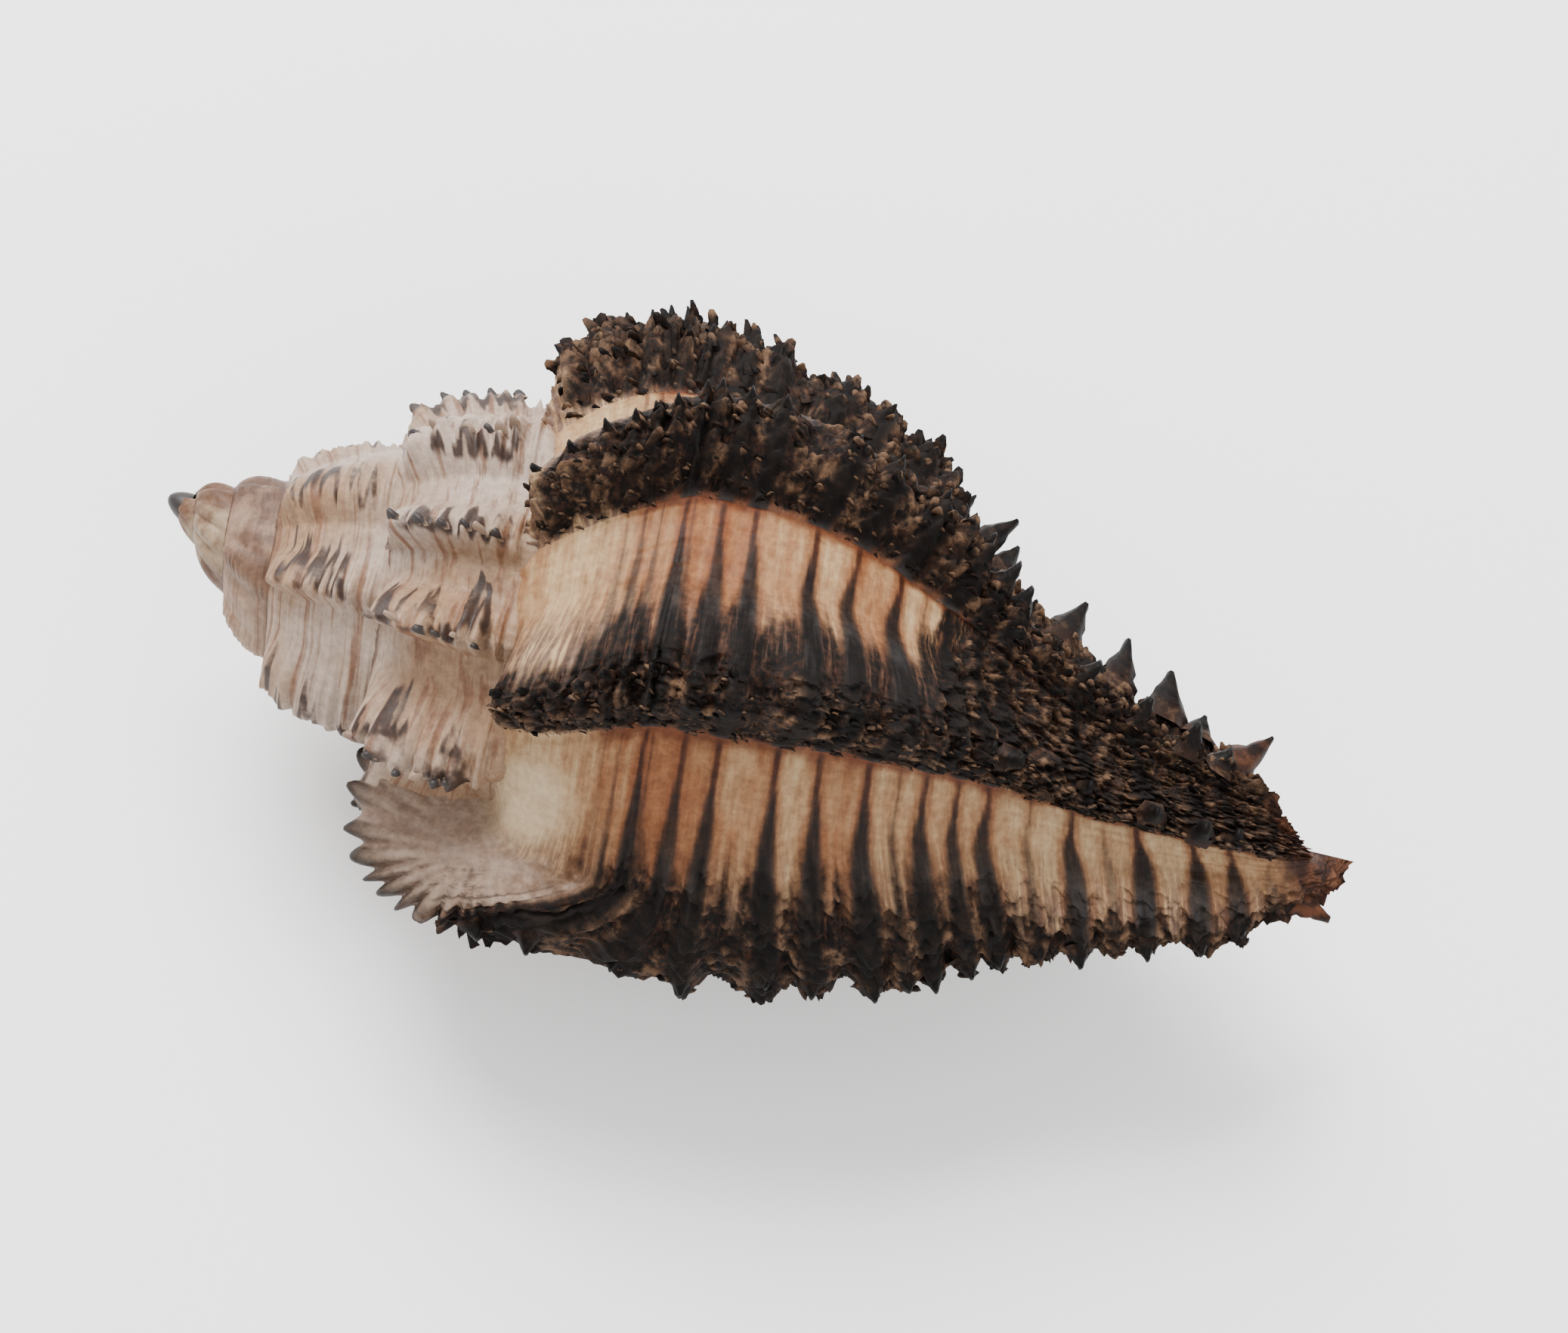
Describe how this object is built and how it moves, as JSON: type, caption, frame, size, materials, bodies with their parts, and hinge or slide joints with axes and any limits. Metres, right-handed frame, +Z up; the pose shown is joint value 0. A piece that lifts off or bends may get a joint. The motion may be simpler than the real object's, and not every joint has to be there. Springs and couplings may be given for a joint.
{
  "type": "murex shell",
  "caption": "Spindle-shaped sea snail shell with frilled ribs running down its whorls, a pointed spire, an open oval aperture and a slit siphonal canal, lying on its aperture side.",
  "frame": {"origin": "centre of the bounding box's base, on the surface that the shell lies on", "axes": "+X towards the siphonal canal along the coiling axis, the spire at -X; +Y across the shell, away from the outer lip; +Z up, out of the back of the last whorl"},
  "size_m": [0.095, 0.0514, 0.0448],
  "materials": {
    "shell": "matt, chalky"
  },
  "bodies": {
    "root": {"shell": "shell"}
  },
  "joints": []
}
